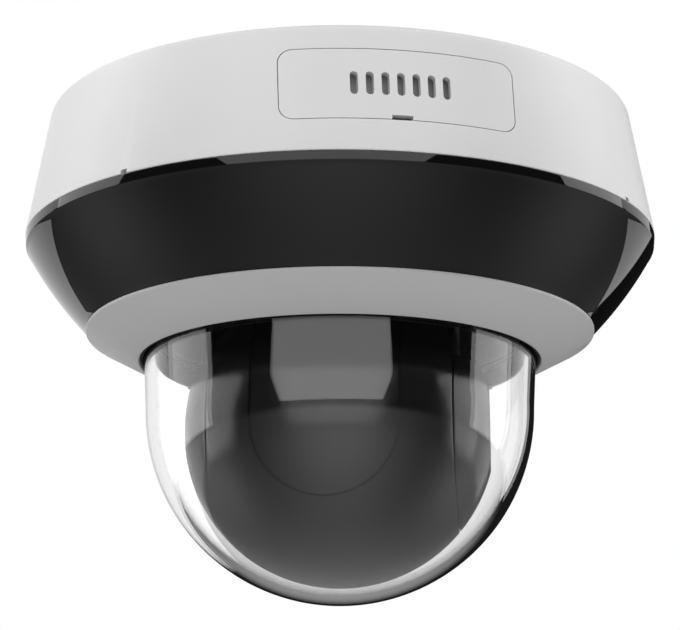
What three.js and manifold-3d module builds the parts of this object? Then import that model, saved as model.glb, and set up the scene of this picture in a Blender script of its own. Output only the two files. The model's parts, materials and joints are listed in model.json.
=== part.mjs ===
// A ceiling-mounted dome PTZ camera: a white housing with a service door, an infrared window band,
// a trim ring, and a clear dome over a camera ball that pans on a turret and tilts in its arms.
//
// Millimetres, +Z up. The origin is the centre of the ceiling plate's top face, and the camera
// hangs below it, so every height is negative. The service door faces -Y. An azimuth is counted
// from -Y towards +X.

import * as THREE from 'three';
import { mergeVertices } from 'three/addons/utils/BufferGeometryUtils.js';
import Module from 'manifold-3d';

const wasm = await Module();
wasm.setup();

// ---------------------------------------------------------------- driving dimensions

const gap = 0.3;                    // between pieces that touch or slide

// Fixed base
const housing = { rimRadius: 65.25, rimZ: -26.9, topZ: -0.4, wall: 2.5, edge: 1.4, draft: 0.1787 };
const deck = { top: -2.6, bottom: -4.6, radius: 57 };
const plate = { radius: 50, thickness: 2, studCircle: 30, studFoot: -6.4, screwCircle: 41 };
const plateScrewAzimuths = [50, 130, 230, 310];
const studAzimuths = [60, 180, 300];
const cableHole = { y: -49, width: 25, depth: 10 };
const door = { halfWidth: 22.6, top: -5.8, bottom: -20.4, cornerRadius: 2.7, wall: 2 };
const vent = { count: 7, pitch: 2.95, width: 1.5, top: -10.6, bottom: -15.4 };
const pryNotch = { width: 4, height: 0.9 };
const rimNotch = { azimuth: 49.5, width: 1.6, height: 0.9 };
const board = { top: -7.2, bottom: -8.6, radius: 53, frontY: -46.5 };
const partsTop = board.bottom - gap;
const jack = { mouthY: -46, backY: -30, bottom: -20.4 };
const card = { left: 9.9, right: 20.9, thickness: 0.8, top: partsTop - 0.6 };
const powerBore = { x: 4.1, z: -14.6, radius: 3.2 };
const resetButton = { x: -3, z: -10.9, radius: 1.1 };
const chassis = { top: -14, bottom: -16, radius: 58 };
const boss = { circle: 54, radius: 3.5, azimuths: [60, 180, 300] };
const boardPosts = [[36, -12], [-36, -12], [14, 44], [-14, 44]];
const lockScrew = { x: 25.5, y: -38 };
const bearing = { outer: 12, outerBore: 10.2, innerOutside: 8.2, bore: 6.2, top: -11.2 };
bearing.bottom = -15.7;
const panMotor = { radius: 10, azimuth: 135 };
const windowBand = { topRadius: 65.2, topZ: -27.2, footRadius: 52.4, footZ: -45.2 };
const ring = { radius: 52.3, topZ: -45.6, bore: 41.6, footZ: -52, seatZ: -49 };
const dome = { radius: 39.7, wall: 2.1, centreZ: -61.8, skirtRadius: 40.4, flangeRadius: 44.6 };
dome.flangeBottom = -47.8;
dome.flangeTop = -46.3;
const liner = { inner: 38.8, outer: 40.2, foot: -46, shelfTop: -40.2, shelfBottom: -41.6 };
const irBoard = { outer: [57.6, -29.6], inner: [50.2, -38.4], thickness: 1.2 };
const ledAzimuths = [45, 135, 225, 315];

// Pan turret
const lensAzimuth = 163.3;          // where the lens points at rest
const turret = { top: -21.2, bottom: -23.2, radius: 37.5, hubRadius: 5.9, hubBore: 3.5 };
const panGear = { teeth: 60, module: 0.8, top: -17.6, bottom: -20.9 };
const panPinion = { teeth: 12, module: 0.8, top: -17.3, bottom: -20.7 };
const shroud = { radius: 37.3, wall: 1.4, floorTop: -41, floorBottom: -42.6, opening: 22.3 };
const stop = { azimuth: 60, circle: 39.5, pinRadius: 1.5, lugReach: 40.5 };
const arm = { inner: 25, outer: 27.5, halfWidth: 7, discRadius: 11.5, bushHole: 4.9 };
const tiltGear = { teeth: 30, module: 0.5, inner: 21.5, outer: 23.5 };

// Camera ball, measured from its own centre
const ball = { radius: 31.8, wall: 2, centreZ: -66.2, halfWidth: 24, pocket: 15.5 };
ball.pocketFloor = 21;
ball.wallInside = 19.5;
const cap = { inner: 24.6, outer: 30.6, wall: 1.6, topCut: 11.7 };
const axleRadius = 3;
const tiltPinion = { teeth: 12, module: 0.5, inner: 21.4, outer: 23.6 };
const barrel = { radius: 12.3, bore: 11.1, back: -12, front: 24 };
const bezel = { radius: 13.5, bore: 11.2, back: 24.6, front: 29.2 };

// Gears run with a little slack, as moulded ones do
const toothSlack = 0.1;
const centreSlack = 0.12;
const panCentres = (panGear.teeth + panPinion.teeth) * panGear.module / 2 + centreSlack;
const tiltCentres = (tiltGear.teeth + tiltPinion.teeth) * tiltGear.module / 2 + centreSlack;

// Sides of round bodies, by size
const housingRound = 40;
const ringRound = 32;
const discRound = 24;
const smallRound = 10;
const curveSteps = 2;

// ---------------------------------------------------------------- finishes

function finish(color, roughness, metalness) {
  return new THREE.MeshStandardMaterial({ color, roughness, metalness });
}

const finishes = {
  whiteShell: () => finish('#e4e5e7', 0.45, 0),
  greyTrim: () => finish('#b4b5b7', 0.5, 0),
  linerGrey: () => finish('#85878a', 0.6, 0),
  blackGloss: () => finish('#0b0b0c', 0.12, 0),
  blackMatte: () => finish('#1a1a1c', 0.6, 0),
  darkWindow: () => finish('#121214', 0.1, 0),
  clear: () => finish('#f2f4f5', 0.03, 0),
  lensGlass: () => finish('#2a3350', 0.05, 0),
  steel: () => finish('#a6a8ab', 0.35, 1),
  aluminium: () => finish('#b9bbbe', 0.4, 1),
  brass: () => finish('#b08d3e', 0.35, 1),
  circuitGreen: () => finish('#14502f', 0.5, 0),
  rubber: () => finish('#202022', 0.85, 0),
  nylon: () => finish('#d9d8d2', 0.55, 0),
  amber: () => finish('#c9a35a', 0.3, 0),
};

// ---------------------------------------------------------------- solids

// A closed geometry as a manifold solid, with its faces turned outwards.
function solid(shape) {
  if (!shape.isBufferGeometry) {
    return shape;
  }
  const bare = shape.clone();
  bare.deleteAttribute('normal');
  bare.deleteAttribute('uv');
  const merged = mergeVertices(bare, 1e-4);
  const points = merged.attributes.position.array;
  const indices = merged.index.array;
  const vertex = (index) => new THREE.Vector3().fromArray(points, 3 * index);
  const faces = [];
  let volume = 0;
  for (let i = 0; i < indices.length; i += 3) {
    const [a, b, c] = indices.slice(i, i + 3);
    if (a !== b && b !== c && c !== a) {
      faces.push(a, b, c);
      volume += vertex(a).dot(vertex(b).cross(vertex(c)));
    }
  }
  if (volume < 0) {
    faces.reverse();
  }
  return new wasm.Manifold(new wasm.Mesh({
    numProp: 3,
    vertProperties: new Float32Array(points),
    triVerts: new Uint32Array(faces),
  }));
}

function join(...shapes) {
  return shapes.map(solid).reduce((whole, next) => whole.add(next));
}

function cut(shape, ...tools) {
  return tools.map(solid).reduce((rest, tool) => rest.subtract(tool), solid(shape));
}

function common(first, second) {
  return solid(first).intersect(solid(second));
}

// A named mesh of one solid.
function piece(name, shape, material, position = [0, 0, 0], rotation = [0, 0, 0]) {
  const { vertProperties, triVerts } = solid(shape).getMesh();
  const geometry = new THREE.BufferGeometry();
  geometry.setAttribute('position', new THREE.BufferAttribute(vertProperties, 3));
  geometry.setIndex(new THREE.BufferAttribute(triVerts, 1));
  geometry.computeVertexNormals();
  const mesh = new THREE.Mesh(geometry, material());
  mesh.name = name;
  mesh.position.set(...position);
  mesh.rotation.set(...rotation);
  return mesh;
}

function groupOf(...members) {
  const group = new THREE.Group();
  group.add(...members);
  return group;
}

// A box between two limits along each axis.
function block([x0, x1], [y0, y1], [z0, z1]) {
  const box = new THREE.BoxGeometry(Math.abs(x1 - x0), Math.abs(y1 - y0), Math.abs(z1 - z0));
  return box.translate((x0 + x1) / 2, (y0 + y1) / 2, (z0 + z1) / 2);
}

// A cylinder along Z at (x, y).
function rod(radius, z0, z1, x = 0, y = 0, sides = smallRound) {
  const cylinder = new THREE.CylinderGeometry(radius, radius, Math.abs(z1 - z0), sides);
  return cylinder.rotateX(Math.PI / 2).translate(x, y, (z0 + z1) / 2);
}

// A cylinder along Y at (x, z).
function rodY(radius, y0, y1, x, z, sides = smallRound) {
  const cylinder = new THREE.CylinderGeometry(radius, radius, Math.abs(y1 - y0), sides);
  return cylinder.translate(x, (y0 + y1) / 2, z);
}

// A body turned about Z from a path of (radius, z).
function turned(path, sides = ringRound, steps = curveSteps) {
  return new THREE.LatheGeometry(path.getPoints(steps), sides).rotateX(Math.PI / 2);
}

// A path through corner points of (radius, z).
function corners(...points) {
  return new THREE.Path(points.map(([radius, z]) => new THREE.Vector2(radius, z)));
}

// The path closed on itself.
function loop(...points) {
  return corners(...points, points[0]);
}

// A flat outline carried between two heights.
function slab(shape, z0, z1, curveSegments = 3) {
  const depth = Math.abs(z1 - z0);
  const body = new THREE.ExtrudeGeometry(shape, { depth, bevelEnabled: false, curveSegments });
  return body.translate(0, 0, Math.min(z0, z1));
}

// An outline in X and Z carried from y0 to y1.
function throughY(shape, y0, y1, curveSegments = 3) {
  return slab(shape, -y1, -y0, curveSegments).rotateX(Math.PI / 2);
}

// A rectangle with round corners, centred on (x, y).
function roundedRectangle(width, height, radius, x = 0, y = 0) {
  const [right, up] = [width / 2 - radius, height / 2 - radius];
  const shape = new THREE.Shape();
  shape.absarc(x + right, y + up, radius, 0, Math.PI / 2, false);
  shape.absarc(x - right, y + up, radius, Math.PI / 2, Math.PI, false);
  shape.absarc(x - right, y - up, radius, Math.PI, 1.5 * Math.PI, false);
  shape.absarc(x + right, y - up, radius, 1.5 * Math.PI, 2 * Math.PI, false);
  return shape;
}

function radians(degrees) {
  return THREE.MathUtils.degToRad(degrees);
}

// A body made at azimuth 0, moved round to another azimuth.
function spun(geometry, azimuth) {
  return geometry.rotateZ(radians(azimuth));
}

function atAzimuth(radius, azimuth) {
  return [radius * Math.sin(radians(azimuth)), -radius * Math.cos(radians(azimuth))];
}

// A body made along Z, laid along X and pointing outwards on the side given.
function sideways(geometry, side) {
  return geometry.rotateY(side * Math.PI / 2);
}

// A spur gear about Z with straight flanks. One tooth is centred on +X.
function gear({ teeth, module }, z0, z1, bore = 0) {
  const pitchRadius = teeth * module / 2;
  const root = [pitchRadius - 1.15 * module, 0.95 * module - toothSlack / 2];
  const tip = [pitchRadius + 0.9 * module, 0.38 * module - toothSlack / 2];
  const points = [];
  for (let tooth = 0; tooth < teeth; tooth += 1) {
    const centre = 2 * Math.PI * tooth / teeth;
    for (const [[radius, halfWidth], side] of [[root, -1], [tip, -1], [tip, 1], [root, 1]]) {
      const angle = centre + side * halfWidth / radius;
      points.push(new THREE.Vector2(radius * Math.cos(angle), radius * Math.sin(angle)));
    }
  }
  const outline = new THREE.Shape(points);
  if (bore > 0) {
    outline.holes.push(new THREE.Path().absarc(0, 0, bore, 0, 2 * Math.PI, true));
  }
  return slab(outline, z0, z1, 8);
}

// ---------------------------------------------------------------- ceiling plate and housing

function housingRadius(z) {
  return housing.rimRadius - (z - housing.rimZ) * housing.draft;
}

// A steel disc with four counterbored holes, a notch for the cable and three mushroom studs.
function ceilingPlate() {
  const through = [-plate.thickness - 1, 1];
  const disc = rod(plate.radius, -plate.thickness, 0, 0, 0, ringRound);
  const screwHoles = plateScrewAzimuths.flatMap((azimuth) => [
    spun(rod(2.3, ...through, 0, -plate.screwCircle), azimuth),
    spun(rod(4.2, -3, -1, 0, -plate.screwCircle), azimuth),
  ]);
  const cableNotch = block([-13, 13], [-60, cableHole.y + 5.5], through);
  const lockHole = rod(1.8, ...through, lockScrew.x, lockScrew.y);
  const studs = studAzimuths.flatMap((azimuth) => [
    spun(rod(2.5, -1, plate.studFoot, 0, -plate.studCircle), azimuth),
    spun(rod(4, deck.bottom - gap, plate.studFoot, 0, -plate.studCircle), azimuth),
  ]);
  return join(cut(disc, ...screwHoles, cableNotch, lockHole), ...studs);
}

// The slots in the deck that the plate's studs turn into.
function deckKeySlots() {
  const [seatY, entryX, through] = [-plate.studCircle, 9, [-6, -1]];
  return studAzimuths.flatMap((azimuth) => [
    spun(rod(2.8, ...through, 0, seatY), azimuth),
    spun(block([0, entryX], [seatY - 2.8, seatY + 2.8], through), azimuth),
    spun(rod(4.4, ...through, entryX, seatY), azimuth),
  ]);
}

function rimNotches() {
  const width = [-rimNotch.width / 2, rimNotch.width / 2];
  const reach = [-70, -housing.rimRadius + 1.4];
  const height = [housing.rimZ - 1, housing.rimZ + rimNotch.height];
  return [-1, 1].map((side) => spun(block(width, reach, height), side * rimNotch.azimuth));
}

function housingShell() {
  const { rimRadius, rimZ, topZ, wall, edge } = housing;
  const path = new THREE.Path();
  path.moveTo(0, deck.top);
  path.lineTo(deck.radius, deck.top);
  path.lineTo(deck.radius, topZ);
  path.lineTo(housingRadius(topZ) - edge, topZ);
  path.quadraticCurveTo(housingRadius(topZ), topZ, housingRadius(topZ - edge), topZ - edge);
  path.lineTo(rimRadius, rimZ + 0.3);
  path.lineTo(rimRadius - 0.3, rimZ);
  path.lineTo(rimRadius - wall, rimZ);
  path.lineTo(housingRadius(deck.bottom) - wall, deck.bottom);
  path.lineTo(0, deck.bottom);
  return turned(path, housingRound);
}

// The door's outline in X and Z, grown by a margin.
function doorOutline(margin) {
  const width = 2 * (door.halfWidth + margin);
  const height = door.top - door.bottom + 2 * margin;
  const middle = (door.top + door.bottom) / 2;
  return roundedRectangle(width, height, door.cornerRadius + margin, 0, middle);
}

function baseHousing() {
  const bosses = boss.azimuths.map((azimuth) => {
    const [x, y] = atAzimuth(boss.circle, azimuth);
    const post = rod(boss.radius, deck.bottom + 0.5, chassis.top + gap, x, y);
    return cut(post, rod(1.7, -6.5, -20, x, y, 8));
  });
  const cableOutline = roundedRectangle(cableHole.width, cableHole.depth, 4.9, 0, cableHole.y);
  const shell = cut(
    housingShell(),
    throughY(doorOutline(gap), -70, -52),
    slab(cableOutline, -6, -1),
    rod(1.8, -6, -1, lockScrew.x, lockScrew.y, 8),
    ...deckKeySlots(),
    ...rimNotches(),
  );
  return join(shell, ...bosses);
}

// A piece of the housing's own cone, cut straight along Y so that it pulls off.
function accessDoor() {
  const [high, low] = [door.top + 2, door.bottom - 2];
  const skin = turned(loop(
    [housingRadius(high), high], [housingRadius(low), low],
    [housingRadius(low) - door.wall, low], [housingRadius(high) - door.wall, high],
  ), housingRound);
  const ventZ = (vent.top + vent.bottom) / 2;
  const slots = Array.from({ length: vent.count }, (_, index) => {
    const x = (index - (vent.count - 1) / 2) * vent.pitch;
    const slot = roundedRectangle(vent.width, vent.top - vent.bottom, 0.7, x, ventZ);
    return throughY(slot, -70, -50, 1);
  });
  const notchWidth = [-pryNotch.width / 2, pryNotch.width / 2];
  const notch = block(notchWidth, [-70, -50], [door.bottom - 1, door.bottom + pryNotch.height]);
  const panel = common(skin, throughY(doorOutline(0), -70, -50));
  const tabs = [-1, 1].map((side) => block([side * 16, side * 19], [-60.5, -57], [-18.6, -17]));
  return join(cut(panel, ...slots, notch), ...tabs);
}

// A screw with its head hanging from z = 0 and its shank going up.
function screw(headRadius, headHeight, shankRadius, length) {
  const head = rod(headRadius, -headHeight, 0);
  const drive = rod(headRadius * 0.45, -headHeight - 1, -headHeight * 0.5, 0, 0, 6);
  return join(cut(head, drive), rod(shankRadius, -0.2, length, 0, 0, 8));
}

// ---------------------------------------------------------------- chassis and electronics

function panMotorPlace() {
  return atAzimuth(panCentres, panMotor.azimuth);
}

function chassisPlate() {
  const through = [-20, -10];
  const seat = bearing.outer + gap;
  const disc = rod(chassis.radius, chassis.bottom, chassis.top, 0, 0, discRound);
  const holes = [
    block([-23.5, 23.5], [-70, -28], through),
    rod(seat, ...through, 0, 0, discRound),
    rod(2, ...through, ...panMotorPlace(), 8),
    rod(stop.pinRadius + gap, ...through, ...atAzimuth(stop.circle, stop.azimuth), 8),
    ...boss.azimuths.map((azimuth) => rod(1.8, ...through, ...atAzimuth(boss.circle, azimuth), 8)),
  ];
  const collar = turned(loop(
    [seat, chassis.bottom], [14.5, chassis.bottom], [14.5, -10.1],
    [10.9, -10.1], [10.9, -10.9], [seat, -10.9],
  ), discRound);
  const posts = boardPosts.flatMap(([x, y]) => [
    rod(2.5, chassis.top - 0.5, partsTop, x, y, 8),
    rod(1.2, partsTop - 1, board.top + gap, x, y, 8),
  ]);
  return join(cut(disc, ...holes), collar, ...posts);
}

function mainBoard() {
  const through = [board.bottom - 3, board.top + 3];
  const bossClearance = boss.radius + 0.6;
  return cut(
    rod(board.radius, board.bottom, board.top, 0, 0, discRound),
    block([-60, 60], [-70, board.frontY], through),
    rod(panMotor.radius + 0.4, ...through, ...panMotorPlace(), 20),
    rod(4, ...through),
    rod(3, ...through, lockScrew.x, lockScrew.y),
    ...boss.azimuths.map((azimuth) => {
      return rod(bossClearance, ...through, ...atAzimuth(boss.circle, azimuth));
    }),
    ...boardPosts.map(([x, y]) => rod(1.5, ...through, x, y, 8)),
  );
}

function socHeatsink() {
  const fins = Array.from({ length: 6 }, (_, index) => {
    const x = -31.5 + index * 3.6;
    return block([x, x + 1], [8.2, 27.8], [partsTop - 1, chassis.top + 0.6]);
  });
  return join(block([-32, -12], [8, 28], [partsTop, partsTop - 1.3]), ...fins);
}

function networkJack() {
  return cut(
    block([-21.6, -5.6], [jack.mouthY, jack.backY], [partsTop, jack.bottom]),
    block([-19.5, -7.7], [-50, -34], [-10.2, -17.4]),
    block([-16.6, -10.6], [-50, -36], [-17, -19.1]),
  );
}

function powerJack() {
  const { x, z, radius } = powerBore;
  const body = block([-0.4, 8.6], [jack.mouthY, -33], [partsTop, -19.9]);
  const pin = rodY(1, -45.4, -35, x, z, 8);
  return join(cut(body, rodY(radius, -50, -36, x, z, 16)), pin);
}

function cardSlot() {
  const [left, right] = [card.left - 0.3, card.right + 0.3];
  const cage = block([left - 0.4, right + 0.4], [jack.mouthY, -31], [partsTop, partsTop - 2]);
  return cut(cage, block([left, right], [-50, -32], [partsTop - 0.3, partsTop - 1.7]));
}

function memoryCard() {
  const slim = block([card.left, card.right], [-47.9, -32.9], [card.top, card.top - card.thickness]);
  return cut(slim, block([card.left - 1, card.left + 0.8], [-39, -36.5], [-12, -5]));
}

function resetSwitch() {
  const { x, z, radius } = resetButton;
  const body = block([x - 1.9, x + 1.9], [jack.mouthY, -41], [partsTop, partsTop - 4]);
  return cut(body, rodY(radius + gap, -50, -42, x, z, 10));
}

function cableGrommet() {
  const bores = [-6, 6].map((x) => rod(3.5, -8, 0, x, cableHole.y, 16));
  const plug = roundedRectangle(cableHole.width - 0.6, cableHole.depth - 0.6, 4.6, 0, cableHole.y);
  const flange = roundedRectangle(cableHole.width + 3, cableHole.depth + 2, 5.9, 0, cableHole.y);
  return cut(join(slab(plug, -1, -6.4), slab(flange, deck.bottom - gap, -6.4)), ...bores);
}

function panMotorSolid() {
  const can = rod(panMotor.radius, board.top, chassis.top + gap, 0, 0, 20);
  const ears = block([-14, 14], [-3, 3], [-12.7, chassis.top + gap]);
  return cut(join(can, ears), rod(1.5, -8.7, -20, 0, 0, 10));
}

function panPinionSolid() {
  const shaft = rod(1.2, panPinion.top - 1, -9, 0, 0, 10);
  return join(gear(panPinion, panPinion.bottom, panPinion.top), shaft);
}

// A fork round the path of the turret's lug, open towards the axis.
function homeSensor() {
  const body = block([-44, -38.4], [-4, 4], [chassis.bottom - gap, -26]);
  return cut(body, block([-41.5, -30], [-5, 5], [-20.6, -23.8]));
}

// ---------------------------------------------------------------- infrared window and dome

// A short upright lip, then a bulging cone that leans in as it goes down. A spigot fits the housing.
function irWindow() {
  const { topRadius, topZ, footRadius, footZ } = windowBand;
  const [spigotOuter, spigotInner, spigotTop] = [61.5, 59.7, -23];
  const path = new THREE.Path();
  path.moveTo(topRadius, topZ);
  path.lineTo(topRadius - 0.2, topZ - 1.5);
  path.quadraticCurveTo(59.8, -37.6, footRadius, footZ + 0.3);
  path.lineTo(footRadius - 0.2, footZ);
  path.lineTo(50.4, footZ);
  path.lineTo(50.4, -44.2);
  path.quadraticCurveTo(57.9, -35.9, 62, -28.9);
  path.lineTo(spigotInner, -28.2);
  path.lineTo(spigotInner, spigotTop);
  path.lineTo(spigotOuter, spigotTop);
  path.lineTo(spigotOuter, topZ);
  path.lineTo(topRadius, topZ);
  return turned(path);
}

// A flat ring board bent to a cone, parallel to the window.
function irBoardSolid() {
  const [[r0, z0], [r1, z1]] = [irBoard.outer, irBoard.inner];
  const scale = irBoard.thickness / Math.hypot(r1 - r0, z1 - z0);
  const [backR, backZ] = [(z1 - z0) * scale, (r0 - r1) * scale];
  return turned(loop([r0, z0], [r1, z1], [r1 + backR, z1 + backZ], [r0 + backR, z0 + backZ]));
}

function led() {
  const path = new THREE.Path();
  path.moveTo(0, 0);
  path.lineTo(2.2, 0);
  path.lineTo(2.2, 1.2);
  path.lineTo(1.9, 1.2);
  path.absarc(0, 1.2, 1.9, 0, Math.PI / 2, false);
  return turned(path, smallRound, 1);
}

// A small part standing on the infrared board's face at an azimuth.
function onIrBoard(name, shape, material, azimuth) {
  const [[r0, z0], [r1, z1]] = [irBoard.outer, irBoard.inner];
  const lean = Math.atan2(z0 - z1, r0 - r1);
  const standoff = 0.3;
  const radius = (r0 + r1) / 2 + standoff * Math.sin(lean);
  const height = (z0 + z1) / 2 - standoff * Math.cos(lean);
  const carrier = groupOf(piece(name, shape, material, [0, -radius, height], [Math.PI - lean, 0, 0]));
  carrier.rotation.z = radians(azimuth);
  return carrier;
}

function trimRing() {
  const { radius, topZ, bore, footZ, seatZ } = ring;
  return turned(loop(
    [49.9, topZ], [radius - 0.2, topZ], [radius, topZ - 0.5],
    [bore + 0.3, footZ], [bore, footZ + 0.2], [bore, seatZ],
    [45, seatZ], [45, -46.9], [48.6, -46.9],
  ));
}

// An L-section seal: its lip fills the gap round the dome, its flange lies under the dome's.
function domeSeal() {
  const inner = dome.skirtRadius + 0.35;
  const lip = ring.bore - gap;
  return turned(loop(
    [inner, -51.6], [lip, -51.6], [lip, ring.seatZ + gap], [44.7, ring.seatZ + gap],
    [44.7, dome.flangeBottom - gap], [inner, dome.flangeBottom - gap],
  ));
}

function domeBubble() {
  const { radius, wall, centreZ, skirtRadius, flangeRadius, flangeBottom, flangeTop } = dome;
  const path = new THREE.Path();
  path.absarc(0, centreZ, radius, -Math.PI / 2, 0, false);
  path.lineTo(skirtRadius, flangeBottom);
  path.lineTo(flangeRadius, flangeBottom);
  path.lineTo(flangeRadius, flangeTop);
  path.lineTo(skirtRadius - wall, flangeTop);
  path.absarc(0, centreZ, radius - wall, 0, -Math.PI / 2, true);
  return turned(path, ringRound, 3);
}

function domeClampRing() {
  return turned(loop([40.5, -46], [48.3, -46], [48.3, -44.6], [40.5, -44.6]));
}

function innerLiner() {
  const { inner, outer, foot, shelfTop, shelfBottom } = liner;
  const wall = turned(loop(
    [inner, foot], [outer, foot], [outer, shelfBottom],
    [49.2, shelfBottom], [49.2, shelfTop], [inner, shelfTop],
  ));
  const posts = ledAzimuths.map((azimuth) => {
    return rod(2.2, shelfTop - 0.5, chassis.bottom - gap, ...atAzimuth(46.5, azimuth), 8);
  });
  return join(wall, ...posts);
}

// ---------------------------------------------------------------- turret

function turretYoke() {
  const { top, bottom, radius, hubRadius, hubBore } = turret;
  const plateAndHub = turned(loop(
    [hubBore, bottom], [radius, bottom], [radius, top], [8, top], [8, -16],
    [hubRadius, -16], [hubRadius, -10], [hubBore, -10],
  ));
  const lug = spun(block([-1.5, 1.5], [-stop.lugReach, -34], [bottom, top]), stop.azimuth + 180);
  const arms = [-1, 1].map((side) => {
    const width = [side * arm.inner, side * arm.outer];
    const strap = block(width, [-arm.halfWidth, arm.halfWidth], [ball.centreZ, bottom + 0.5]);
    const disc = sideways(rod(arm.discRadius, arm.inner, arm.outer, 0, 0, 24), side);
    const hole = sideways(rod(arm.bushHole, arm.inner - 1, arm.outer + 1, 0, 0, 16), side);
    const height = [0, 0, ball.centreZ];
    return cut(join(strap, disc.translate(...height)), hole.translate(...height));
  });
  return join(plateAndHub, lug, ...arms);
}

// A cup hung under the turret plate. Its floor has one opening for the ball and the arms.
function turretShroud() {
  const { radius, wall, floorTop, floorBottom, opening } = shroud;
  const cup = turned(corners(
    [0, floorBottom], [radius, floorBottom], [radius, turret.bottom - gap],
    [radius - wall, turret.bottom - gap], [radius - wall, floorTop], [0, floorTop],
  ));
  const armWidth = [-arm.halfWidth - 0.8, arm.halfWidth + 0.8];
  return cut(cup, rod(opening, -50, -30, 0, 0, discRound), block([-28, 28], armWidth, [-50, -30]));
}

// The zone of a sphere between two distances along Z, closed by flat ends.
function sphereZone(radius, low, high, sides, steps) {
  const path = new THREE.Path();
  path.moveTo(0, low);
  path.lineTo(Math.sqrt(radius ** 2 - low ** 2), low);
  path.absarc(0, 0, radius, Math.asin(low / radius), Math.asin(high / radius), false);
  path.lineTo(0, high);
  return turned(path, sides, steps);
}

// A dish cut from the ball's side, open inwards and along its top edge.
function sideCap(side) {
  const dish = sphereZone(ball.radius, cap.inner, cap.outer, discRound, 1);
  const hollow = sphereZone(ball.radius - cap.wall, cap.inner - 1, cap.outer - 1.5, discRound, 1);
  const above = block([side * 20, side * 35], [-30, 30], [cap.topCut, 30]);
  const halfWay = arm.halfWidth + 0.4;
  const strapWay = block([side * 20, side * (arm.outer + gap)], [-halfWay, halfWay], [0, 30]);
  return cut(sideways(dish, side), sideways(hollow, side), above, strapWay);
}

function tiltBush(side) {
  const bore = axleRadius + gap;
  return sideways(turned(loop(
    [bore, 24.9], [4.6, 24.9], [4.6, 27.8], [6, 27.8], [6, 28.6], [bore, 28.6],
  ), 12), side);
}

function tiltGearSolid() {
  const hub = cut(rod(5.2, tiltGear.outer - 0.5, 24.6, 0, 0, 16), rod(3.4, 20, 26, 0, 0, 16));
  return join(gear(tiltGear, tiltGear.inner, tiltGear.outer, 3.4), hub);
}

// ---------------------------------------------------------------- camera ball

// The middle slice of the ball, hollow, with a round pocket in each flat side.
function ballShell() {
  const { radius, wall, halfWidth, pocket, pocketFloor, wallInside } = ball;
  const pockets = [-1, 1].map((side) => sideways(rod(pocket, pocketFloor, 30, 0, 0, 20), side));
  const bosses = [-1, 1].map((side) => sideways(rod(pocket + 1.5, wallInside, 30, 0, 0, 20), side));
  const slice = sideways(sphereZone(radius, -halfWidth, halfWidth, 28, 4), 1);
  const inside = sideways(sphereZone(radius - wall, wall - halfWidth, halfWidth - wall, 20, 2), 1);
  const axleHoles = sideways(rod(axleRadius + 0.4, -30, 30, 0, 0, 12), 1);
  const shaftHole = sideways(rod(1.5, 15, 30, 0, 0, 8), -1).translate(0, -tiltCentres, 0);
  return cut(slice, cut(inside, ...bosses), ...pockets, axleHoles, shaftHole);
}

function ballHalf(side) {
  const half = block([-40, 40], [side * 0.15, side * 40], [-40, 40]);
  const lensHole = rodY(bezel.radius + gap, 0, 40, 0, 0, discRound);
  return cut(common(ballShell(), half), lensHole);
}

function trunnion(side) {
  const path = corners(
    [0, 17.8], [4.2, 17.8], [4.2, 19.2], [axleRadius, 19.2], [axleRadius, 28.5], [0, 28.5],
  );
  return sideways(turned(path, 12), side);
}

function tiltMotorSolid() {
  return cut(rod(6, 12.7, 19.2, 0, 0, 20), rod(1.4, 14.7, 25, 0, 0, 8));
}

function tiltPinionSolid() {
  const shaft = rod(1.1, 15, tiltPinion.inner + 1, 0, 0, 8);
  return join(gear(tiltPinion, tiltPinion.inner, tiltPinion.outer), shaft);
}

function lensBarrel() {
  const { radius, bore, back, front } = barrel;
  return turned(loop([bore, back], [radius, back], [radius, front], [bore, front]), discRound);
}

function lensBezel() {
  const { radius, bore: inner, back, front } = bezel;
  return turned(loop(
    [9.9, back], [radius, back], [radius, front - 0.9], [radius - 0.7, front],
    [inner + 0.5, front], [inner, front - 0.4], [inner, back + 1], [9.9, back + 1],
  ), discRound);
}

// A lens in its cell: a double-convex glass inside a thicker rim.
function lensCell(rimRadius, glassRadius, halfRim, halfGlass) {
  const path = new THREE.Path();
  path.moveTo(0, -halfGlass);
  path.quadraticCurveTo(glassRadius / 2, -halfGlass, glassRadius, -halfGlass / 2);
  path.lineTo(glassRadius, -halfRim);
  path.lineTo(rimRadius, -halfRim);
  path.lineTo(rimRadius, halfRim);
  path.lineTo(glassRadius, halfRim);
  path.lineTo(glassRadius, halfGlass / 2);
  path.quadraticCurveTo(glassRadius / 2, halfGlass, 0, halfGlass);
  return turned(path, 16, 1);
}

function frontLens() {
  const path = new THREE.Path();
  path.moveTo(0, 17);
  path.lineTo(10.8, 17);
  path.lineTo(10.8, 20);
  path.quadraticCurveTo(6, 22.8, 0, 23);
  return turned(path, discRound);
}

// A thin slide with a raised frame: one half holds the filter, the other plain glass.
function irCutFilter() {
  return join(
    block([-6.1, 6.1], [-4, 4], [-0.3, 0.3]),
    cut(block([-6.1, 6.1], [-4, 4], [-0.5, 0.5]),
      block([-5.4, -0.4], [-3, 3], [-1, 1]), block([0.4, 5.4], [-3, 3], [-1, 1])),
  );
}

// ---------------------------------------------------------------- assembly

const { whiteShell, greyTrim, linerGrey, blackGloss, blackMatte, darkWindow, clear, lensGlass,
  steel, aluminium, brass, circuitGreen, rubber, nylon, amber } = finishes;

const lensHeading = radians(lensAzimuth - 180);
const panMotorHeading = radians(panMotor.azimuth - 90);
const toothStep = 2 * Math.PI / panPinion.teeth;

const chassisScrews = boss.azimuths.map((azimuth, index) => {
  const place = [...atAzimuth(boss.circle, azimuth), chassis.bottom - gap];
  return piece(`chassis_screw_${index + 1}`, screw(3, 1.8, 1.4, 7), steel, place);
});

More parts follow.
